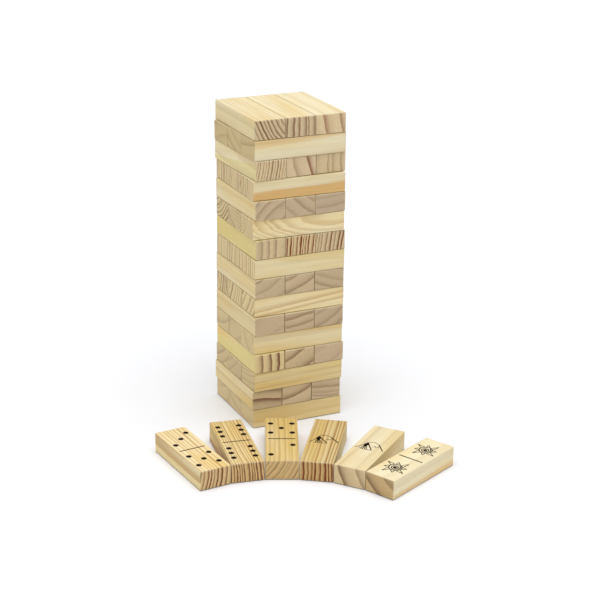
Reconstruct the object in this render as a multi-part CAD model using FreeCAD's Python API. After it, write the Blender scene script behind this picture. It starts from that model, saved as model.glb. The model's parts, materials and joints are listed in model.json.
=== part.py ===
"""A stacking game of wooden blocks: a tower of sixteen layers, three blocks to a layer, and six
printed blocks of the same size laid out beside it in a fan.

Millimetres and degrees, +Z up. The origin is on the ground at the centre of the tower's foot.
The bottom layer's blocks run along X, and each layer above is turned a quarter turn from the one
below it. Every block is a solid of its own, and each one is named for its place.
"""

import FreeCAD, Part
import math
import os
import random

# One block. Three widths side by side make just under one length.
BLOCK_LENGTH = 76.0
BLOCK_WIDTH = 25.0
BLOCK_HEIGHT = 15.4
EDGE_RADIUS = 0.6

# The tower. Layers are counted from the bottom.
STACK_GAP = 0.05
LAYER_PITCH = BLOCK_HEIGHT + STACK_GAP
QUARTER_TURN = 90.0

# A hand-built tower is never quite true. One row per layer, from the bottom up:
# shift along X, shift along Y, turn about Z, and the gap between neighbouring blocks.
LAYER_SEATS = (
    (0.0, 0.0, 0.0, 0.2),
    (-1.0, 0.0, 0.0, 0.6),
    (-0.5, -0.5, 0.5, 0.5),
    (0.5, -0.5, 0.5, 0.8),
    (0.0, 0.0, -0.5, 0.2),
    (0.0, -0.5, 0.5, 0.4),
    (0.5, 0.0, 0.0, 0.2),
    (0.0, -0.5, 0.5, 0.4),
    (0.5, -0.5, 0.0, 0.2),
    (0.5, 0.0, 0.5, 0.2),
    (0.0, 0.0, -1.5, 0.2),
    (0.0, -0.5, 0.5, 0.2),
    (0.0, 0.0, -1.0, 0.2),
    (0.0, 1.0, 1.5, 0.2),
    (-0.5, 0.5, 0.5, 0.4),
    (0.0, 1.0, 0.0, 0.2),
)

# Blocks also stop a little short of, or past, their neighbours' ends.
END_SCATTER = 0.3
SCATTER_SEED = 5

# Names of the three places in a layer, in the direction the places are counted.
PLACES_ALONG_Y = ("front", "centre", "back")
PLACES_ALONG_X = ("left", "centre", "right")

# The fan of printed blocks. The near ends stand on a circle, FAN_RADIUS from its centre, and each
# block points away from that centre. Angles are from +Y, anticlockwise seen from above.
FAN_CENTRE_X = -95.0
FAN_CENTRE_Y = -224.0
FAN_RADIUS = 104.0
FAN_FIRST_ANGLE = 5.0
FAN_STEP = -13.9

# The fan's blocks in order, each with the small turn that its place in the fan doesn't explain.
FAN_BLOCKS = (
    ("domino_3_5", 0.0),
    ("domino_6_6", -1.0),
    ("domino_5_2", -1.0),
    ("picture_block_1", 2.5),
    ("picture_block_2", 0.0),
    ("picture_block_3", 0.0),
)


def block():
    """One block along X, every edge rounded, with the middle of its underside at the origin."""
    corner = FreeCAD.Vector(-BLOCK_LENGTH / 2, -BLOCK_WIDTH / 2, 0)
    solid = Part.makeBox(BLOCK_LENGTH, BLOCK_WIDTH, BLOCK_HEIGHT, corner)
    return solid.makeFillet(EDGE_RADIUS, solid.Edges)


def seat(x, y, z, angle):
    """The placement that puts a block's underside at x, y, z and turns its length to angle."""
    turn = FreeCAD.Rotation(FreeCAD.Vector(0, 0, 1), angle)
    return FreeCAD.Placement(FreeCAD.Vector(x, y, z), turn)


def layer_placements(number, scatter):
    """Name and placement of the three blocks in one layer, counted from 1 at the bottom."""
    shift_x, shift_y, turn, gap = LAYER_SEATS[number - 1]
    runs_along_x = number % 2 == 1
    places = PLACES_ALONG_Y if runs_along_x else PLACES_ALONG_X
    length_angle = turn if runs_along_x else turn + QUARTER_TURN
    side_angle = turn + QUARTER_TURN if runs_along_x else turn
    length_way = math.radians(length_angle)
    side_way = math.radians(side_angle)
    height = (number - 1) * LAYER_PITCH
    placements = {}
    for index, place in enumerate(places):
        aside = (index - 1) * (BLOCK_WIDTH + gap)
        along = 0.0 if number == 1 else scatter.uniform(-END_SCATTER, END_SCATTER)
        x = shift_x + aside * math.cos(side_way) + along * math.cos(length_way)
        y = shift_y + aside * math.sin(side_way) + along * math.sin(length_way)
        name = f"layer_{number:02d}_{place}"
        placements[name] = seat(x, y, height, length_angle)
    return placements


def tower_placements():
    """Name and placement of every block in the tower."""
    scatter = random.Random(SCATTER_SEED)
    placements = {}
    for number in range(1, len(LAYER_SEATS) + 1):
        placements.update(layer_placements(number, scatter))
    return placements


def fan_placements():
    """Name and placement of the six printed blocks."""
    placements = {}
    for index, (name, extra_turn) in enumerate(FAN_BLOCKS):
        spoke = math.radians(FAN_FIRST_ANGLE + index * FAN_STEP + QUARTER_TURN)
        turned = spoke + math.radians(extra_turn)
        near_x = FAN_CENTRE_X + FAN_RADIUS * math.cos(spoke)
        near_y = FAN_CENTRE_Y + FAN_RADIUS * math.sin(spoke)
        x = near_x + BLOCK_LENGTH / 2 * math.cos(turned)
        y = near_y + BLOCK_LENGTH / 2 * math.sin(turned)
        placements[name] = seat(x, y, 0, math.degrees(turned))
    return placements


def export(placements):
    """Write each block to a STEP file of its own."""
    os.makedirs("parts", exist_ok=True)
    for name, placement in placements.items():
        solid = block()
        solid.Placement = placement
        solid.exportStep("parts/" + name + ".step")


export(tower_placements() | fan_placements())
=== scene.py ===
# Looks for the stacking game: every block as a piece of planed pine with its own growth rings, and the
# black prints on the six loose blocks. Shapes are in millimetres until to_row() turns them into the
# frame's metres; the studio is in metres.

import json
import math

import bpy
import numpy as np
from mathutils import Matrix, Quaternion, Vector, noise


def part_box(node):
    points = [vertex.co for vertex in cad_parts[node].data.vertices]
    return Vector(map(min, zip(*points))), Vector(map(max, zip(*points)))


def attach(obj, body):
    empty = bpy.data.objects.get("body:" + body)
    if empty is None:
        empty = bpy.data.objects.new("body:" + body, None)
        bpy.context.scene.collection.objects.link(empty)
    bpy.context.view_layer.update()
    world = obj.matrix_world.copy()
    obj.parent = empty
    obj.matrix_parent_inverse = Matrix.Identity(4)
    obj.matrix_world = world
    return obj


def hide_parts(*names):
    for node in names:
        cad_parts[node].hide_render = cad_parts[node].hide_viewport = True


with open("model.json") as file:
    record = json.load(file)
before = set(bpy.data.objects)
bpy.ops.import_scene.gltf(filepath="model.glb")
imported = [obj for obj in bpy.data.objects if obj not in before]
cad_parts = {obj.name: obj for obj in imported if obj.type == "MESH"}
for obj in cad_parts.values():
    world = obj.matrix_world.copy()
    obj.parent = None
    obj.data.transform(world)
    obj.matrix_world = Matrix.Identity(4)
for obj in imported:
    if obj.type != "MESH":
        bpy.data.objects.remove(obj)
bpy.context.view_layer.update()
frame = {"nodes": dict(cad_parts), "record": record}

MM = 0.001
# All blocks are alike, and this one lies square along X.
LOW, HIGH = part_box("layer_01_centre")
BLOCK_LENGTH = (HIGH.x - LOW.x) / MM
HALF_HEIGHT = (HIGH.z - LOW.z) / 2 / MM
UP = Vector((0, 0, 1))
# Each block's own length points roughly this way, away from the viewer, so that its near end is in view.
FAR_WAY = Vector((1, 2, 0))

# ---------------------------------------------------------------- growth rings

# How each block was cut from its tree, seen on its near end: ring width in mm; direction of the heart in
# degrees, anticlockwise from the right; distance to the heart in mm; how far the rings drift along the
# block in mm. Then its looks, 0 for none and 1 for plenty: how dark the latewood is on the ends and on the
# long faces, how warm the long faces are, how grey the ends are, and how red the latewood is.
CUTS = {
    "layer_16_left": (3.3, 30, 62, 0.6, 1.35, 0.45, 0.18, 0.55, 0.4),
    "layer_16_centre": (4.2, 180, 200, 0.4, 1.3, 0.35, 0.20, 0.6, 0.4),
    "layer_16_right": (9.5, 14, 200, 0.8, 0.85, 0.30, 0.05, 0.55, 1.0),
    "layer_15_front": (13.0, 100, 90, 2.0, 0.45, 0.30, 0.15, 0.1, 0.1),
    "layer_15_centre": (10.0, 60, 60, 1.0, 0.32, 0.30, 0.30, 0.1, 0.1),
    "layer_15_back": (9.0, -70, 40, 1.0, 0.32, 0.30, 0.30, 0.1, 0.1),
    "layer_14_left": (2.4, 172, 80, 0.8, 0.95, 0.30, 0.15, 0.5, 0.3),
    "layer_14_centre": (10.0, 16, 150, 0.8, 0.95, 0.30, 0.20, 0.75, 0.6),
    "layer_14_right": (6.5, 0, 150, 0.5, 0.65, 0.30, 0.20, 0.5, 0.3),
    "layer_13_front": (2.3, 173, 100, 0.6, 0.95, 0.15, 0.1, 0.25, 0.0),
    "layer_13_centre": (2.6, 170, 60, 0.8, 0.95, 0.30, 0.40, 0.27, 0.0),
    "layer_13_back": (3.0, 180, 120, 0.5, 0.95, 0.30, 0.40, 0.27, 0.0),
    "layer_12_left": (7.0, -50, 60, 1.0, 0.55, 0.22, 0.40, 0.85, 0.5),
    "layer_12_centre": (8.0, 50, 50, 1.0, 0.55, 0.25, 0.35, 0.9, 0.4),
    "layer_12_right": (6.0, 95, 120, 1.0, 0.30, 0.25, 0.35, 1.0, 0.3),
    "layer_11_front": (1.7, 151, 18.4, -8.0, 0.62, 0.50, 0.27, 0.11, 0.1),
    "layer_11_centre": (2.2, 60, 22, 2.0, 0.75, 0.30, 0.35, 0.14, 0.2),
    "layer_11_back": (3.0, 125, 40, 1.0, 0.94, 0.30, 0.45, 0.11, 0.2),
    "layer_10_left": (8.5, 180, 150, 0.5, 0.6, 0.25, 0.75, 0.5, 0.1),
    "layer_10_centre": (3.1, 176, 200, 0.3, 1.7, 0.60, 0.40, 0.3, 1.0),
    "layer_10_right": (3.3, 170, 120, 0.3, 1.3, 0.60, 0.40, 0.5, 0.7),
    "layer_09_front": (2.8, 180, 200, 0.3, 0.75, 0.12, 0.25, 0.07, 0.2),
    "layer_09_centre": (4.0, 175, 120, 0.3, 0.6, 0.30, 0.30, 0.16, 0.1),
    "layer_09_back": (5.0, 180, 120, 0.3, 0.6, 0.30, 0.30, 0.14, 0.1),
    "layer_08_left": (9.0, 118, 40, 1.5, 0.6, 0.32, 0.45, 0.75, 0.2),
    "layer_08_centre": (8.0, 115, 100, 1.0, 0.6, 0.30, 0.35, 0.75, 0.2),
    "layer_08_right": (10.0, 72, 100, 1.0, 0.55, 0.30, 0.35, 0.75, 0.3),
    "layer_07_front": (5.0, 145, 96, 3.0, 0.9, 0.62, 0.36, 0.05, 0.0),
    "layer_07_centre": (3.5, 160, 100, 0.5, 0.9, 0.30, 0.35, 0.07, 0.1),
    "layer_07_back": (2.5, 170, 100, 0.5, 0.98, 0.30, 0.35, 0.07, 0.1),
    "layer_06_left": (14.0, -60, 60, 1.0, 0.20, 0.25, 0.5, 0.85, 0.2),
    "layer_06_centre": (7.0, 98, 150, 0.8, 0.62, 0.30, 0.35, 0.8, 0.4),
    "layer_06_right": (8.0, 122, 45, 0.8, 0.55, 0.30, 0.35, 0.9, 0.2),
    "layer_05_front": (12.0, 40, 50, 1.0, 0.26, 0.15, 0.42, 0.11, 0.1),
    "layer_05_centre": (12.0, -60, 60, 1.0, 0.30, 0.30, 0.40, 0.30, 0.1),
    "layer_05_back": (9.0, 110, 40, 1.0, 0.40, 0.30, 0.40, 0.22, 0.1),
    "layer_04_left": (7.0, 180, 150, 0.3, 1.15, 0.20, 0.65, 0.12, 0.4),
    "layer_04_centre": (9.5, 120, 60, 1.0, 0.9, 0.30, 0.35, 0.60, 0.3),
    "layer_04_right": (13.0, 125, 80, 1.0, 0.30, 0.25, 0.35, 1.0, 0.6),
    "layer_03_front": (5.5, 100, 80, 3.0, 0.32, 0.35, 0.55, 0.14, 0.1),
    "layer_03_centre": (11.0, 130, 50, 1.0, 0.40, 0.30, 0.40, 0.35, 0.1),
    "layer_03_back": (9.0, 120, 60, 1.0, 0.36, 0.30, 0.40, 0.23, 0.1),
    "layer_02_left": (8.5, -97, 148, 0.6, 0.95, 0.34, 0.50, 0.60, 0.5),
    "layer_02_centre": (10.0, 108, 61.2, 0.8, 0.88, 0.30, 0.40, 0.75, 0.3),
    "layer_02_right": (5.0, 84, 120, 0.8, 0.55, 0.30, 0.35, 0.75, 0.3),
    "layer_01_front": (13.0, 95, 80, 1.5, 0.30, 0.25, 0.45, 0.14, 0.1),
    "layer_01_centre": (11.0, 70, 60, 1.0, 0.26, 0.30, 0.40, 0.25, 0.1),
    "layer_01_back": (12.0, 110, 60, 1.0, 0.26, 0.30, 0.40, 0.23, 0.1),
    "domino_3_5": (2.5, 172, 60, 0.4, 1.6, 0.9, 0.45, 0.3, 0.7),
    "domino_6_6": (2.4, 184, 100, 0.3, 1.7, 1.3, 0.65, 0.3, 0.6),
    "domino_5_2": (2.8, 148, 40, 0.6, 0.8, 0.65, 0.8, 0.45, 0.0),
    "picture_block_1": (2.8, 180, 150, 0.3, 2.0, 1.15, 0.60, 0.2, 1.0),
    "picture_block_2": (9.5, 22, 60, 1.2, 1.0, 0.35, 0.15, 0.5, 0.1),
    "picture_block_3": (16.0, 52, 80, 1.0, 1.0, 0.30, 0.0, 0.7, 0.1),
}

# Blocks that hold a border between pale sapwood and darker heartwood: which side of it is dark (1 above,
# -1 below), its height over the block's middle in mm, how much it rises along the block in mm, how much
# darker it is, and how much of that is tan rather than yellow.
HEARTWOOD = {
    "layer_16_left": (-1, 6.0, 0.0, 0.40, 0.4),
    "layer_15_front": (1, 3.4, 5.0, 0.50, 0.9),
    "layer_14_left": (-1, 0.0, -11.0, 0.60, 0.0),
    "layer_13_front": (-1, 0.2, 2.0, 1.0, 1.0),
    "layer_10_left": (-1, 99.0, 0.0, 0.60, 0.0),
    "layer_09_front": (1, 3.0, -9.0, 0.40, 0.5),
    "layer_05_front": (1, 6.0, -4.0, 0.40, 0.8),
    "layer_04_left": (-1, 4.0, -8.0, 0.75, 0.0),
    "layer_03_front": (1, 4.0, -3.0, 0.40, 0.3),
    "layer_01_front": (1, -3.0, 1.5, 0.50, 0.6),
    "domino_3_5": (-1, 2.0, -4.0, 0.30, 0.2),
    "picture_block_3": (-1, -3.8, 1.0, 0.6, 1.0),
}
NO_HEARTWOOD = (1, 99.0, 0.0, 0.0, 0.0)

# Blocks from a bent trunk: how far the rings bend away from the middle to both ends, in mm.
BENDS = {"layer_11_front": 10.0}

# How strong the painted shade in the upright gaps beside a block is, where that differs from the rest, from
# 0 to 1.
# The gaps between layers have LEVEL_SEAM_SHADE instead.
USUAL_SEAM_SHADE = 0.30
SEAM_SHADES = {
    "layer_16_left": 0.85,
    "layer_16_centre": 0.45,
    "layer_15_front": 0.65,
    "layer_14_left": 0.85,
    "layer_14_centre": 0.45,
    "layer_12_left": 0.50,
    "layer_08_left": 0.65,
    "layer_08_centre": 0.80,
    "layer_08_right": 0.60,
    "layer_06_left": 0.70,
    "layer_06_centre": 0.80,
    "layer_06_right": 0.60,
    "layer_04_left": 0.95,
    "layer_04_centre": 0.95,
    "layer_04_right": 0.80,
    "layer_03_front": 0.60,
    "layer_02_left": 0.95,
    "layer_02_centre": 0.85,
    "layer_02_right": 0.60,
    "layer_01_front": 0.60,
}

# How light a block is compared with the rest: on the long faces, and on the ends.
SHADES = {
    "layer_16_right": (1.0, 1.12),
    "layer_15_front": (1.0, 0.85),
    "layer_15_centre": (1.0, 0.85),
    "layer_15_back": (1.0, 0.85),
    "layer_14_left": (1.03, 1.09),
    "layer_14_centre": (1.0, 1.15),
    "layer_13_front": (0.97, 1.10),
    "layer_13_centre": (1.0, 1.10),
    "layer_13_back": (1.0, 1.10),
    "layer_11_front": (1.07, 1.0),
    "layer_11_centre": (1.0, 0.95),
    "layer_11_back": (1.0, 0.95),
    "layer_09_front": (0.98, 1.05),
    "layer_08_left": (1.0, 0.97),
    "layer_07_front": (1.08, 1.0),
    "layer_08_right": (1.0, 0.94),
    "layer_06_left": (0.98, 1.02),
    "layer_04_left": (1.06, 1.0),
    "layer_05_front": (1.0, 0.93),
    "layer_05_centre": (1.0, 0.93),
    "layer_05_back": (1.0, 0.93),
    "layer_04_right": (1.0, 1.15),
    "layer_03_front": (1.0, 0.90),
    "layer_03_centre": (1.0, 0.90),
    "layer_03_back": (1.0, 0.90),
    "layer_02_left": (1.05, 1.0),
    "layer_02_centre": (1.0, 1.15),
    "layer_01_front": (1.0, 0.97),
    "layer_01_centre": (1.0, 0.97),
    "layer_01_back": (1.0, 0.97),
    "domino_3_5": (1.03, 1.0),
    "domino_6_6": (0.93, 0.97),
    "domino_5_2": (0.86, 0.95),
    "picture_block_1": (0.84, 0.90),
    "picture_block_2": (0.93, 1.0),
    "picture_block_3": (1.0, 0.90),
}
USUAL_SHADES = (1.0, 1.0)

# Blocks whose ends are honey brown: 0 for none, 1 or more for all.
HONEY = {
    "layer_15_front": 0.2,
    "layer_15_centre": 0.2,
    "layer_15_back": 0.2,
    "layer_10_centre": 0.2,
    "domino_3_5": 0.5,
    "domino_6_6": 0.8,
    "domino_5_2": 0.8,
    "picture_block_1": 1.3,
    "picture_block_2": 0.1,
    "picture_block_3": 0.6,
}

LATEWOOD_START = 0.7       # where in a ring's phase the dark wood starts
LATEWOOD_LEAST = 0.9       # mm of dark wood in a ring
LATEWOOD_GROWTH = 0.13     # how much more of it there is per mm of ring width
LATEWOOD_MOST = 0.5        # the largest share of a narrow ring that is dark
RING_SPREAD = 0.30         # how much ring widths vary
RING_LIMITS = (0.45, 1.7)  # narrowest and widest ring, in usual widths
RING_REACH = 60            # mm past the heart's distance that still needs rings
# How far the rings wander in mm, with how many wanders per mm across, along and up.
RING_WANDERS = ((1.0, (0.05, 0.012, 0.05)), (0.4, (0.26, 0.03, 0.26)))
WANDER_STEP = 7.3          # how far apart two blocks lie in the wandering noise


def ring_edges(width, furthest, rng):
    """Radii where each ring starts and where its latewood starts, with the phase at each of them."""
    count = int(furthest / width) + 4
    widths = width * np.clip(1 + RING_SPREAD * rng.standard_normal(count), *RING_LIMITS)
    starts = np.concatenate([[0.0], np.cumsum(widths)])
    dark = np.minimum(LATEWOOD_LEAST + LATEWOOD_GROWTH * widths, LATEWOOD_MOST * widths)
    radii = np.ravel(np.column_stack([starts[:-1], starts[1:] - dark]))
    phases = np.ravel(np.column_stack([np.arange(count), np.arange(count) + LATEWOOD_START]))
    return radii, phases


def wander(points, seed):
    """How far the rings have wandered at each point, in mm."""
    total = np.zeros(len(points))
    for reach, scale in RING_WANDERS:
        places = points * np.array(scale) + seed * WANDER_STEP
        total += reach * np.array([noise.noise(Vector(place)) for place in places])
    return total


def ring_phase(points, cut, bend, seed):
    """Growth phase at each local point: whole numbers are ring borders."""
    width, toward, distance, drift = cut
    way = points[:, 1] / BLOCK_LENGTH
    heart = distance * np.array([math.cos(math.radians(toward)), math.sin(math.radians(toward))])
    across = np.hypot(points[:, 0] - heart[0], points[:, 2] - heart[1])
    radius = across + drift * way + bend * way ** 2 + wander(points, seed)
    radii, phases = ring_edges(width, distance + RING_REACH, np.random.default_rng(seed))
    return np.interp(radius, radii, phases)


# ---------------------------------------------------------------- block meshes

EDGE_RADIUS = 0.35
EDGE_TURNS = (15, 30, 45)  # degrees round an edge at which it has grid lines
SPACING = (1.0, 2.0, 1.0)  # mm between grid lines across, along and up
RELIEF = 0.03              # mm that soft earlywood lies below the latewood
RELIEF_RISE = (0.5, 0.8)   # where in a ring's phase that relief rises
PLANED_LEVEL = 0.10        # mm that the top and the underside lie inside the block's outline
PLANED_SIDE = 0.03         # mm that the two upright long faces do
EDGE_WEAR = 0.70           # mm of wear, times how far a point faces away from the flats
EVEN_WEAR = 0.6            # share of it that is the same everywhere
WEAR_SCALE = 0.11          # rubbed places per mm
NICK_SCALE = 0.55          # nicks per mm
NICK_LEAST = 0.25          # how strong the noise has to be before it makes a nick
NICK_DEPTH = 2.0


class Block:
    """Where one CAD block lies and its size, read from its mesh."""

    def __init__(self, node):
        mesh = frame["nodes"][node].data
        upright = [face for face in mesh.polygons if abs(face.normal.z) < 0.01]
        side = max(upright, key=lambda face: face.area)
        along = side.normal.cross(UP).normalized()
        self.name = node
        self.along = along if along.dot(FAR_WAY) > 0 else -along
        self.right = self.along.cross(UP)
        low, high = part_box(node)
        self.middle = (low + high) / 2
        corners = [v.co - self.middle for v in mesh.vertices]
        self.half = np.array([max(c.dot(way) for c in corners) for way in self.ways()]) / MM

    def ways(self):
        return self.right, self.along, UP

    def to_row(self, points):
        """Local millimetres (right, along, up from the block's middle) to the row frame's metres."""
        axes = np.array([list(way) for way in self.ways()])
        return points @ axes * MM + np.array(self.middle)


def grid_lines(half, spacing):
    """Grid lines across a block: even over the flat, and closer together round each edge."""
    flat = half - EDGE_RADIUS
    even = np.linspace(-flat, flat, max(3, round(2 * flat / spacing)) + 1)
    turn = EDGE_RADIUS * np.tan(np.radians(EDGE_TURNS))
    return np.concatenate([-flat - turn[::-1], even, flat + turn])


def shell(lines):
    """Points and outward quads of the surface of a lattice with these grid lines."""
    counts = [len(line) for line in lines]
    number = -np.ones(counts, int)
    inside = np.zeros(counts, bool)
    inside[1:-1, 1:-1, 1:-1] = True
    number[~inside] = np.arange((~inside).sum())
    index = np.argwhere(~inside)
    points = np.column_stack([lines[k][index[:, k]] for k in range(3)])
    quads = []
    for axis in range(3):
        for end in (0, -1):
            sheet = np.take(number, end, axis=axis)
            corners = [sheet[:-1, :-1], sheet[1:, :-1], sheet[1:, 1:], sheet[:-1, 1:]]
            faces = np.column_stack([c.ravel() for c in corners])
            if (axis == 1) == (end == -1):
                faces = faces[:, ::-1]
            quads.append(faces)
    return points, np.vstack(quads)


def rounded(points, half):
    """Points pulled onto a box with round edges: the core they stand on, and the way they face."""
    core = np.clip(points, EDGE_RADIUS - half, half - EDGE_RADIUS)
    facing = points - core
    facing /= np.linalg.norm(facing, axis=1)[:, None]
    return core, facing


def edge_wear(points, facing, seed):
    """How much is rubbed or knocked off at each point, in mm: nothing on the flats."""
    edge = 1 - np.abs(facing).max(axis=1)
    wear = np.zeros(len(points))
    rub_shift = Vector((seed * 3.1, 0, 0))
    nick_shift = Vector((0, seed * 1.7, 0))
    for i in np.flatnonzero(edge > 1e-6):
        rub = noise.noise(Vector(points[i]) * WEAR_SCALE + rub_shift)
        nick = noise.noise(Vector(points[i]) * NICK_SCALE + nick_shift)
        uneven = max(0.0, rub) + NICK_DEPTH * max(0.0, nick - NICK_LEAST)
        wear[i] = edge[i] * EDGE_WEAR * (EVEN_WEAR + uneven)
    return wear


def latewood(phase):
    """Share of latewood at a growth phase: it builds up slowly and ends sharply."""
    within = phase - np.floor(phase)
    low, high = RELIEF_RISE
    rise = np.clip((within - low) / (high - low), 0, 1)
    return rise * rise * (3 - 2 * rise)


def arris_distance(points, half):
    """How far each surface point is from the nearest edge of its face, in mm."""
    return np.sort(half - np.abs(points), axis=1)[:, 1]


def block_mesh(block, cut, bend, seed):
    """The mesh of one block, with its rings, its local places and its edges as attributes."""
    lines = [grid_lines(half, step) for half, step in zip(block.half, SPACING)]
    points, quads = shell(lines)
    core, facing = rounded(points, block.half)
    phase = ring_phase(core + EDGE_RADIUS * facing, cut, bend, seed)
    sunk = RELIEF * (1 - latewood(phase)) + edge_wear(points, facing, seed)
    sunk += PLANED_LEVEL * facing[:, 2] ** 2 + PLANED_SIDE * facing[:, 0] ** 2
    local = core + (EDGE_RADIUS - sunk)[:, None] * facing
    mesh = bpy.data.meshes.new(block.name + "_wood")
    mesh.from_pydata(block.to_row(local), [], quads.tolist())
    mesh.shade_smooth()
    add_attribute(mesh, "rings", "FLOAT", "value", phase)
    add_attribute(mesh, "place", "FLOAT_VECTOR", "vector", local)
    add_attribute(mesh, "facing", "FLOAT_VECTOR", "vector", facing)
    add_attribute(mesh, "arris", "FLOAT", "value", arris_distance(points, block.half))
    return mesh


def add_attribute(mesh, name, kind, field, values):
    layer = mesh.attributes.new(name, kind, "POINT")
    layer.data.foreach_set(field, np.ascontiguousarray(values, np.float32).ravel())


# ---------------------------------------------------------------- shader graph helper


class Graph:
    """Short calls for building a material's nodes. A value is a number, a tuple or an output socket."""

    def __init__(self, name):
        self.material = bpy.data.materials.new(name)
        self.material.use_nodes = True
        self.tree = self.material.node_tree
        self.tree.nodes.clear()

    def node(self, kind, inputs=None, **settings):
        made = self.tree.nodes.new("ShaderNode" + kind)
        for key, value in settings.items():
            setattr(made, key, value)
        for key, value in (inputs or {}).items():
            self.feed(made.inputs[key], value)
        return made

    def feed(self, socket, value):
        if isinstance(value, bpy.types.NodeSocket):
            self.tree.links.new(value, socket)
        else:
            socket.default_value = value

    def math(self, operation, *values):
        made = self.node("Math", operation=operation)
        for socket, value in zip(made.inputs, values):
            self.feed(socket, value)
        return made.outputs[0]

    def vector(self, operation, *values):
        made = self.node("VectorMath", operation=operation)
        for socket, value in zip(made.inputs, values):
            self.feed(socket, value)
        return made.outputs[0]

    def step(self, value, low, high):
        """0 below low, 1 above high and smooth between."""
        made = self.node("MapRange", {"Value": value, "From Min": low, "From Max": high})
        made.interpolation_type = "SMOOTHSTEP"
        return made.outputs[0]

    def scale(self, value, low, high, out_low, out_high):
        keys = ("Value", "From Min", "From Max", "To Min", "To Max")
        return self.node("MapRange", dict(zip(keys, (value, low, high, out_low, out_high)))).outputs[0]

    def mix(self, share, first, second, blend="MIX"):
        made = self.node("Mix", data_type="RGBA", blend_type=blend)
        self.feed(made.inputs[0], share)
        self.feed(made.inputs[6], first)
        self.feed(made.inputs[7], second)
        return made.outputs[2]

    def noise(self, place, scale, detail=2.0, roughness=0.5):
        inputs = {"Vector": place, "Scale": scale, "Detail": detail, "Roughness": roughness}
        return self.node("TexNoise", inputs).outputs["Fac"]

    def stretched_noise(self, place, per_mm, detail, roughness=0.5):
        """Noise with its own number of waves per mm across, along and up."""
        return self.noise(self.vector("MULTIPLY", place, per_mm), 1.0, detail, roughness)

    def minus(self, first, second):
        return self.math("SUBTRACT", first, second)

    def plus(self, first, second):
        return self.math("ADD", first, second)

    def times(self, first, second):
        return self.math("MULTIPLY", first, second)

    def finish(self, shader):
        self.tree.links.new(shader.outputs[0], self.node("OutputMaterial").inputs["Surface"])

    def attribute(self, name, output="Fac", kind="GEOMETRY"):
        return self.node("Attribute", attribute_name=name, attribute_type=kind).outputs[output]


SCREEN_GAMMA = 2.2


def colour(red, green, blue):
    """A colour from its 0-255 screen values, as linear light."""
    return (*((channel / 255) ** SCREEN_GAMMA for channel in (red, green, blue)), 1.0)


# ---------------------------------------------------------------- pine

CREAM = colour(241, 228, 190)
GOLD = colour(230, 199, 124)
HEART_YELLOW = colour(229, 213, 138)
HEART_TAN = colour(228, 186, 121)
LATE_SIDE = colour(182, 138, 76)
END_STRAW = colour(235, 212, 159)
END_GREY = colour(197, 174, 144)
END_HONEY = colour(216, 179, 116)
LATE_END = colour(126, 98, 70)
LATE_END_RED = colour(128, 68, 40)
# Painted shade: the dark brown that places beside narrow gaps between blocks are darkened towards.
SEAM_SHADE = colour(64, 42, 16)

# Waves of noise per mm across, along and up a block.
FIBRES = (2.2, 0.06, 2.2)
STREAKS = (0.5, 0.010, 0.5)
BROAD_BANDS = (0.07, 0.012, 0.07)
CANALS = (4.5, 0.16, 4.5)
SPECKS = 2.6

NOISE_STEP = 31.0          # mm between two blocks' places in the noise textures
SEAM_REACH = 0.0010        # m over which a neighbour darkens a narrow gap with painted shade
SEAM_BORDER = (0.4, 1.4)   # mm from an edge where that painted shade fades out
LEVEL_SEAM_SHADE = 0.85          # how strong the painted shade in the gaps between layers is
LEVEL_BORDER = (0.3, 1.2)  # mm from the top or the underside where a gap counts as level
HIGHLIGHT_RIM = (0.3, 1.2)           # mm from an edge of an end where a painted highlight fades out
HIGHLIGHT_RIM_TOP = (5.5, 7.0)       # mm over a block's middle from which that painted highlight is stronger
BUMP_DEPTH = 0.0001        # m


def texture_place(g, place, seed):
    """Each block's own place in the noise textures."""
    shift = g.node("CombineXYZ", {"X": seed, "Y": g.times(seed, 1.7), "Z": seed}).outputs[0]
    return g.vector("ADD", place, g.vector("MULTIPLY", shift, (NOISE_STEP, NOISE_STEP, NOISE_STEP)))


def latewood_share(g, rings, fibre, seed):
    """How much latewood there is: ring borders are ragged, and no two rings are equally dark."""
    ragged = g.plus(rings, g.times(g.minus(fibre, 0.5), 0.12))
    within = g.math("FRACT", ragged)
    year = g.plus(g.math("FLOOR", ragged), g.times(seed, 17.3))
    strength = g.node("TexWhiteNoise", {"W": year}, noise_dimensions="1D").outputs["Value"]
    slow_rise = g.times(g.step(within, 0.15, 0.75), 0.3)
    quick_rise = g.times(g.step(within, 0.5, 0.9), 0.7)
    fall = g.minus(1.0, g.step(within, 0.95, 1.0))
    late = g.times(g.plus(slow_rise, quick_rise), fall)
    return g.times(late, g.scale(strength, 0, 1, 0.4, 1.0))


def heartwood_share(g, tone, height_here, along_here, streak):
    """How far a place lies in the block's heartwood."""
    climb = g.times(tone["heart_climb"], g.math("DIVIDE", along_here, BLOCK_LENGTH))
    border = g.plus(g.plus(tone["heart_height"], climb), g.scale(streak, 0.3, 0.7, -1.0, 1.0))
    return g.step(g.times(tone["heart_side"], g.minus(height_here, border)), -0.7, 0.7)


def long_faces(g, tone, late, heart, broad):
    """Cream to gold wood with heartwood and brown latewood lines, and how strong those lines are."""
    warm = g.plus(tone["warmth"], g.scale(broad, 0.3, 0.7, -0.25, 0.40))
    wood = g.mix(g.math("MAXIMUM", warm, 0.0), CREAM, GOLD)
    wood = g.mix(heart, wood, g.mix(tone["heart_tan"], HEART_YELLOW, HEART_TAN))
    lines = g.math("MINIMUM", g.times(late, tone["side_lines"]), 1.0)
    return g.mix(lines, wood, LATE_SIDE), lines


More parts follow.
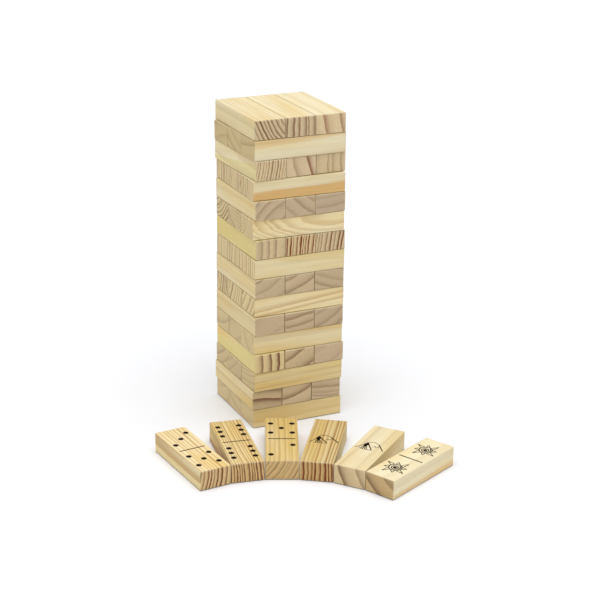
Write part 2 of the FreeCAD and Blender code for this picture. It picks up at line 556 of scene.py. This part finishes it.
def sawn_ends(g, tone, late, arris, height_here, speck):
    """Straw, grey or honey wood with dark latewood lines and a pale painted highlight along the edges."""
    wood = g.mix(tone["greyness"], END_STRAW, END_GREY)
    wood = g.mix(tone["honey"], wood, END_HONEY)
    lines = g.math("MINIMUM", g.times(late, tone["end_lines"]), 1.0)
    wood = g.mix(lines, wood, g.mix(tone["redness"], LATE_END, LATE_END_RED))
    # Painted highlight: a pale rim along the end's edges, stronger towards the top, where the light overhead
    # catches them.
    rim = g.times(g.minus(1.0, g.step(arris, *HIGHLIGHT_RIM)), g.scale(speck, 0.3, 0.7, 0.15, 0.5))
    rim = g.times(rim, g.scale(g.step(height_here, *HIGHLIGHT_RIM_TOP), 0, 1, 0.5, 1.1))
    return g.mix(rim, wood, CREAM)


def gap_shade(g, tone, arris, height_here, facing_up):
    """How much painted shade a place gets because it borders a narrow gap between two blocks."""
    open_share = g.node("AmbientOcclusion", {"Distance": SEAM_REACH}, samples=8).outputs["AO"]
    to_level = g.minus(HALF_HEIGHT, g.math("ABSOLUTE", height_here))
    level = g.minus(1.0, g.step(to_level, *LEVEL_BORDER))
    dark = g.plus(g.times(level, LEVEL_SEAM_SHADE), g.times(g.minus(1.0, level), tone["seam_shade"]))
    dark = g.times(dark, g.minus(1.0, g.step(facing_up, 0.05, 0.6)))
    dark = g.times(dark, g.scale(open_share, 0.25, 0.95, 1.0, 0.0))
    return g.times(g.minus(1.0, g.step(arris, *SEAM_BORDER)), dark)


def pine():
    """Planed pine. It reads each block's own rings and places, and its own tones."""
    g = Graph("pine")
    place = g.attribute("place", "Vector")
    arris = g.attribute("arris")
    tone = {name: g.attribute(name, kind="OBJECT") for name in TONES}
    _, along_here, height_here = g.node("SeparateXYZ", {"Vector": place}).outputs
    _, facing_along, facing_up = g.node("SeparateXYZ", {"Vector": g.attribute("facing", "Vector")}).outputs
    end = g.step(g.math("ABSOLUTE", facing_along), 0.4, 0.75)

    own = texture_place(g, place, tone["seed"])
    fibre = g.stretched_noise(own, FIBRES, 4.0, 0.65)
    streak = g.stretched_noise(own, STREAKS, 3.0, 0.6)
    broad = g.stretched_noise(own, BROAD_BANDS, 2.0)
    speck = g.noise(own, SPECKS, 3.0, 0.7)

    late = latewood_share(g, g.attribute("rings"), fibre, tone["seed"])
    heart = g.times(heartwood_share(g, tone, height_here, along_here, streak), tone["heart_warmth"])
    side, side_lines = long_faces(g, tone, late, heart, broad)
    wood = g.mix(end, side, sawn_ends(g, tone, late, arris, height_here, speck))
    wood = g.mix(1.0, wood, g.mix(end, tone["side_shade"], tone["end_shade"]), "MULTIPLY")

    # Resin canals show as short thin dashes along the grain.
    canals = g.step(g.stretched_noise(own, CANALS, 2.0), 0.66, 0.74)
    canals = g.times(canals, g.minus(0.35, g.times(end, 0.35)))
    wood = g.mix(canals, wood, LATE_SIDE)

    # Fibres and streaks lighten and darken the wood; the sawn ends are speckled.
    shade = g.times(g.scale(streak, 0.25, 0.75, 0.94, 1.05), g.scale(fibre, 0.2, 0.8, 0.95, 1.04))
    shade = g.times(shade, g.scale(g.times(g.minus(speck, 0.5), end), -0.2, 0.2, 1.08, 0.92))
    grey = g.node("CombineColor", {"Red": shade, "Green": shade, "Blue": shade}).outputs[0]
    wood = g.mix(1.0, wood, grey, "MULTIPLY")
    # Painted shade: places beside narrow gaps between blocks are darkened towards a dark brown.
    wood = g.mix(gap_shade(g, tone, arris, height_here, facing_up), wood, SEAM_SHADE)

    rough = g.minus(g.scale(end, 0, 1, 0.60, 0.85), g.times(side_lines, 0.15))
    height = g.plus(g.plus(g.times(late, 0.5), g.times(fibre, 0.5)), g.times(g.times(speck, end), 0.6))
    bump = g.node("Bump", {"Height": height, "Strength": 0.25, "Distance": BUMP_DEPTH})
    skin = g.node("BsdfPrincipled", {"Base Color": wood, "Roughness": rough, "Normal": bump.outputs[0]})
    skin.inputs["Specular IOR Level"].default_value = 0.3
    g.finish(skin)
    return g.material


CUT_TONES = ("end_lines", "side_lines", "warmth", "greyness", "redness", "seed")
HEART_TONES = ("heart_side", "heart_height", "heart_climb", "heart_warmth", "heart_tan")
TONES = (*CUT_TONES, *HEART_TONES, "seam_shade", "honey", "side_shade", "end_shade")


def tones_of(node, seed):
    """What the pine material reads from one block, by name."""
    heart = HEARTWOOD.get(node, NO_HEARTWOOD)
    shades = SHADES.get(node, USUAL_SHADES)
    values = (*CUTS[node][4:], seed, *heart, SEAM_SHADES.get(node, USUAL_SEAM_SHADE), HONEY.get(node, 0.0), *shades)
    return dict(zip(TONES, values, strict=True))


def build_blocks():
    """Every block, standing for its CAD node and riding on its body."""
    wood = pine()
    slots = {part["node"]: part["material_slot"] for part in frame["record"]["subparts"]}
    blocks = {}
    for seed, node in enumerate(CUTS, start=1):
        block = Block(node)
        mesh = block_mesh(block, CUTS[node][:4], BENDS.get(node, 0.0), seed)
        piece = bpy.data.objects.new(node + "_wood", mesh)
        bpy.context.scene.collection.objects.link(piece)
        mesh.materials.append(wood)
        for name, value in tones_of(node, seed).items():
            piece[name] = float(value)
        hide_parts(node)
        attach(piece, node)
        blocks[node] = block
    return blocks, slots


# ---------------------------------------------------------------- prints

INK_OVER = 0.04     # mm that the ink stands over the planed wood
INK_DEPTH = 0.30    # mm that it reaches down into the wood
PIP_RADIUS = 2.1
PIP_STEP = 8.2      # mm between the middle of a domino's half and its outer pips
HALF_MIDDLE = 19.0  # mm from the block's middle to the middle of each half
DIVIDER = 10.5      # mm, half the length of the line between the halves
LINE = 1.1          # width of that line

STROKE_STEP = 0.8   # mm between points along a stroke
STROKE_SPREAD = 0.06
RIM_SPREAD = 0.02

INK = colour(20, 14, 10)
INK_THIN = colour(50, 30, 16)
INK_WORN = colour(118, 84, 52)
INK_FIBRES = (3.0, 0.25, 3.0)

# Pips as (across, along) steps in each half.
PIPS_2 = ((1, 1), (-1, -1))
PIPS_3 = ((1, 1), (0, 0), (-1, -1))
PIPS_5 = ((1, 1), (1, -1), (0, 0), (-1, 1), (-1, -1))
PIPS_6 = ((1, 1), (1, 0), (1, -1), (-1, 1), (-1, 0), (-1, -1))


def arc(centre, radius, first, last, steps=16):
    """Points on part of a circle, from one angle to another in degrees."""
    turns = np.radians(np.linspace(first, last, steps))
    return np.column_stack([centre[0] + radius * np.cos(turns), centre[1] + radius * np.sin(turns)])


class Print:
    """Flat shapes of ink for one block's top. Places are (across, along) in mm from the block's middle."""

    def __init__(self, seed):
        self.corners = []
        self.faces = []
        self.rng = np.random.default_rng(seed)

    def ring(self, inner, outer):
        """A closed solid band between two loops with equally many points."""
        count = len(outer)
        start = len(self.corners)
        for level in (1, 0):
            for loop in (inner, outer):
                self.corners += [(x, y, level) for x, y in loop]
        top_in, top_out, low_in, low_out = (start + k * count for k in range(4))
        for i in range(count):
            j = (i + 1) % count
            self.faces.append((top_in + i, top_out + i, top_out + j, top_in + j))
            self.faces.append((top_out + i, low_out + i, low_out + j, top_out + j))
            self.faces.append((low_out + i, low_in + i, low_in + j, low_out + j))
            self.faces.append((low_in + i, top_in + i, top_in + j, low_in + j))

    def disc(self, centre, radius, points=28):
        """A round dot with a slightly uneven rim."""
        rim = arc(centre, radius, 0, 360, points + 1)[:-1]
        rim += (rim - centre) * self.rng.normal(0, RIM_SPREAD, (points, 1))
        self.patch(rim)

    def patch(self, outline):
        """A filled shape that is round enough to be seen from its middle."""
        middle = np.mean(outline, axis=0)
        count = len(outline)
        start = len(self.corners)
        for level in (1, 0):
            self.corners += [(x, y, level) for x, y in (*outline, middle)]
        low = start + count + 1
        for i in range(count):
            j = (i + 1) % count
            self.faces.append((start + i, start + j, start + count))
            self.faces.append((low + i, low + count, low + j))
            self.faces.append((start + i, low + i, low + j, start + j))

    def stroke(self, path, width):
        """A line of ink along a path, a little uneven in width and tapered at both ends."""
        path = np.array(path, float)
        legs = [max(2, int(math.dist(a, b) / STROKE_STEP) + 1) for a, b in zip(path, path[1:])]
        pieces = [np.linspace(a, b, n)[:-1] for a, b, n in zip(path, path[1:], legs)]
        path = np.vstack([*pieces, path[-1:]])
        way = np.gradient(path, axis=0)
        side = np.column_stack([-way[:, 1], way[:, 0]]) / np.linalg.norm(way, axis=1)[:, None]
        half = width / 2 * (1 + self.rng.normal(0, STROKE_SPREAD, len(path)))
        half[0] *= 0.5
        half[-1] *= 0.5
        left = path + side * half[:, None]
        right = path - side * half[:, None]
        start = len(self.corners)
        count = len(path)
        for level in (1, 0):
            for row in (left, right):
                self.corners += [(x, y, level) for x, y in row]
        top_left, top_right, low_left, low_right = (start + k * count for k in range(4))
        for i in range(count - 1):
            j = i + 1
            self.faces.append((top_left + i, top_right + i, top_right + j, top_left + j))
            self.faces.append((low_left + i, low_left + j, low_right + j, low_right + i))
            self.faces.append((top_left + i, top_left + j, low_left + j, low_left + i))
            self.faces.append((top_right + i, low_right + i, low_right + j, top_right + j))
        last = count - 1
        self.faces.append((top_left, low_left, low_right, top_right))
        self.faces.append((top_left + last, top_right + last, low_right + last, low_left + last))

    def build(self, name, block):
        """The finished mesh, on top of its block."""
        points = np.array(self.corners, float)
        surface = block.half[2] - PLANED_LEVEL
        points[:, 2] = surface - INK_DEPTH + points[:, 2] * (INK_DEPTH + INK_OVER)
        mesh = bpy.data.meshes.new(name)
        mesh.from_pydata(block.to_row(points), [], self.faces)
        add_attribute(mesh, "place", "FLOAT_VECTOR", "vector", points)
        return mesh


def domino(drawing, far, near):
    """Two groups of pips with a line between them."""
    for middle, pips in ((HALF_MIDDLE, far), (-HALF_MIDDLE, near)):
        for across, along in pips:
            drawing.disc((across * PIP_STEP, middle + along * PIP_STEP), PIP_RADIUS)
    drawing.stroke([(-DIVIDER, 0), (DIVIDER, 0)], LINE)


def hills(drawing):
    """A line drawing of a small dark hill with a wider one behind it."""
    top = (-4.7, 7.4)
    drawing.stroke([(-11.0, -4.0), (-8.4, -1.2), (-6.2, 3.4), top], 0.6)
    drawing.stroke([top, (-1.4, 1.8), (2.8, -4.4)], 0.85)
    drawing.stroke([(-7.8, -4.0), (-2.4, -4.8), (2.8, -4.4)], 0.5)
    for foot in (-6.0, -4.5, -3.0, -1.4):
        drawing.stroke([(-4.5 + 0.15 * foot, 3.4), (foot, -4.2)], 0.65)
    drawing.patch([(-4.7, 7.0), (-6.2, 2.6), (-5.0, 0.6), (-3.4, 1.2), (-2.8, 3.6)])
    drawing.stroke([top, (-2.6, 8.8), (0.4, 9.2), (3.9, 7.2)], 0.45)
    drawing.stroke([(3.9, 7.2), (7.4, 2.6), (11.1, -2.8)], 0.85)
    drawing.stroke([(1.0, 0.6), (2.6, 3.6), (3.8, 1.2), (5.2, 3.8), (6.4, 1.8)], 0.4)


def sun(drawing, middle):
    """A round sun with a curl inside and open, pointed rays."""
    centre = np.array([0.0, middle])
    drawing.ring(arc(centre, 4.5, 0, 360, 41)[:-1], arc(centre, 5.4, 0, 360, 41)[:-1])
    turns = np.linspace(0, 2.2 * 2 * math.pi, 60)
    reach = 0.5 + 3.4 * turns / turns[-1]
    curl = centre + np.column_stack([reach * np.cos(turns), reach * np.sin(turns)])
    drawing.stroke(curl, 0.9)
    drawing.disc(centre, 1.1, 16)
    for ray in range(8):
        middle_turn = math.radians(45 * ray + 12)
        length = 11.4 if ray % 2 else 8.8
        tip = centre + length * np.array([math.cos(middle_turn + 0.12), math.sin(middle_turn + 0.12)])
        for lean in (-0.3, 0.3):
            foot = centre + 5.5 * np.array([math.cos(middle_turn + lean), math.sin(middle_turn + lean)])
            drawing.stroke([foot, tip], 0.65)


def draw(node, drawing):
    """The print that belongs on a block."""
    if node == "domino_3_5":
        domino(drawing, PIPS_3, PIPS_5)
    elif node == "domino_6_6":
        domino(drawing, PIPS_6, PIPS_6)
    elif node == "domino_5_2":
        domino(drawing, PIPS_5, PIPS_2)
    elif node == "picture_block_3":
        sun(drawing, HALF_MIDDLE)
        sun(drawing, -HALF_MIDDLE)
        drawing.stroke([(-DIVIDER, 0), (DIVIDER, 0)], LINE)
    else:
        hills(drawing)


def ink():
    """Matt black ink, thin enough that a little wood shows through."""
    g = Graph("ink")
    place = g.attribute("place", "Vector")
    fibre = g.stretched_noise(place, INK_FIBRES, 4.0, 0.7)
    cover = g.noise(place, 1.3, 3.0, 0.6)
    black = g.mix(g.scale(cover, 0.3, 0.7, 0.0, 1.0), INK, INK_THIN)
    black = g.mix(g.step(fibre, 0.66, 0.76), black, INK_WORN)
    rough = g.scale(fibre, 0.2, 0.8, 0.65, 0.9)
    bump = g.node("Bump", {"Height": fibre, "Strength": 0.2, "Distance": BUMP_DEPTH / 2})
    skin = g.node("BsdfPrincipled", {"Base Color": black, "Roughness": rough, "Normal": bump.outputs[0]})
    skin.inputs["Specular IOR Level"].default_value = 0.15
    g.finish(skin)
    return g.material


PRINTED = ("domino_3_5", "domino_6_6", "domino_5_2", "picture_block_1", "picture_block_2", "picture_block_3")


def build_prints(blocks):
    """The ink on the six loose blocks, riding with them."""
    black = ink()
    for seed, node in enumerate(PRINTED, start=100):
        drawing = Print(seed)
        draw(node, drawing)
        name = node + "_print"
        piece = bpy.data.objects.new(name, drawing.build(name, blocks[node]))
        bpy.context.scene.collection.objects.link(piece)
        piece.data.materials.append(black)
        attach(piece, node)


# ---------------------------------------------------------------- studio

CAMERA_AZIMUTH = -25.35   # degrees, as are the next two
CAMERA_ELEVATION = 20.17
CAMERA_ROLL = 0.72
CAMERA_DISTANCE = 1.2845  # m from its target
CAMERA_TARGET = Vector((0.0187, 0.0, 0.0866))
CAMERA_LENS = 96.1        # mm

FLOOR_REACH = 8.0
FLOOR_DROP = 0.0002       # m that the floor lies below the lowest blocks' outline
FLOOR_TINT = (0.866, 0.876, 0.905, 1.0)
SKY_STRENGTH = 0.44
OVERHEAD_STRENGTH = 2.33
OVERHEAD_ANGLE = 60       # degrees across the soft light overhead
OVERHEAD_WAY = Vector((-0.05, -0.14, 1.0))


def add_floor():
    """A plain pale floor."""
    g = Graph("floor")
    g.finish(g.node("BsdfDiffuse", {"Color": FLOOR_TINT}))
    mesh = bpy.data.meshes.new("floor")
    ways = ((-1, -1), (1, -1), (1, 1), (-1, 1))
    corners = [(x * FLOOR_REACH, y * FLOOR_REACH, -FLOOR_DROP) for x, y in ways]
    mesh.from_pydata(corners, [], [(0, 1, 2, 3)])
    mesh.materials.append(g.material)
    floor = bpy.data.objects.new("floor", mesh)
    bpy.context.scene.collection.objects.link(floor)


def add_studio():
    """An even sky and one large soft light overhead."""
    world = bpy.data.worlds.new("studio")
    world.use_nodes = True
    sky = world.node_tree.nodes["Background"]
    sky.inputs["Color"].default_value = (1, 1, 1, 1)
    # The backdrop itself looks white; the softer sky only lights the blocks.
    seen = world.node_tree.nodes.new("ShaderNodeLightPath").outputs["Is Camera Ray"]
    strength = world.node_tree.nodes.new("ShaderNodeMapRange")
    strength.inputs["To Min"].default_value = SKY_STRENGTH
    world.node_tree.links.new(seen, strength.inputs["Value"])
    world.node_tree.links.new(strength.outputs[0], sky.inputs["Strength"])
    bpy.context.scene.world = world
    light = bpy.data.lights.new("overhead", "SUN")
    light.energy = OVERHEAD_STRENGTH
    light.angle = math.radians(OVERHEAD_ANGLE)
    lamp = bpy.data.objects.new("overhead", light)
    lamp.rotation_euler = (-OVERHEAD_WAY).to_track_quat("-Z", "Y").to_euler()
    bpy.context.scene.collection.objects.link(lamp)


def add_camera():
    """The main view, from the front left and above."""
    azimuth = math.radians(CAMERA_AZIMUTH)
    elevation = math.radians(CAMERA_ELEVATION)
    level = math.cos(elevation)
    back = Vector((math.sin(azimuth) * level, -math.cos(azimuth) * level, math.sin(elevation)))
    data = bpy.data.cameras.new("camera")
    data.lens = CAMERA_LENS
    camera = bpy.data.objects.new("camera", data)
    camera.location = CAMERA_TARGET + back * CAMERA_DISTANCE
    camera.rotation_mode = "QUATERNION"
    roll = Quaternion((0, 0, 1), math.radians(CAMERA_ROLL))
    camera.rotation_quaternion = (-back).to_track_quat("-Z", "Y") @ roll
    bpy.context.scene.collection.objects.link(camera)
    bpy.context.scene.camera = camera


built, finishes = build_blocks()
build_prints(built)
add_floor()
add_studio()
add_camera()
bpy.context.scene.view_settings.view_transform = "Standard"
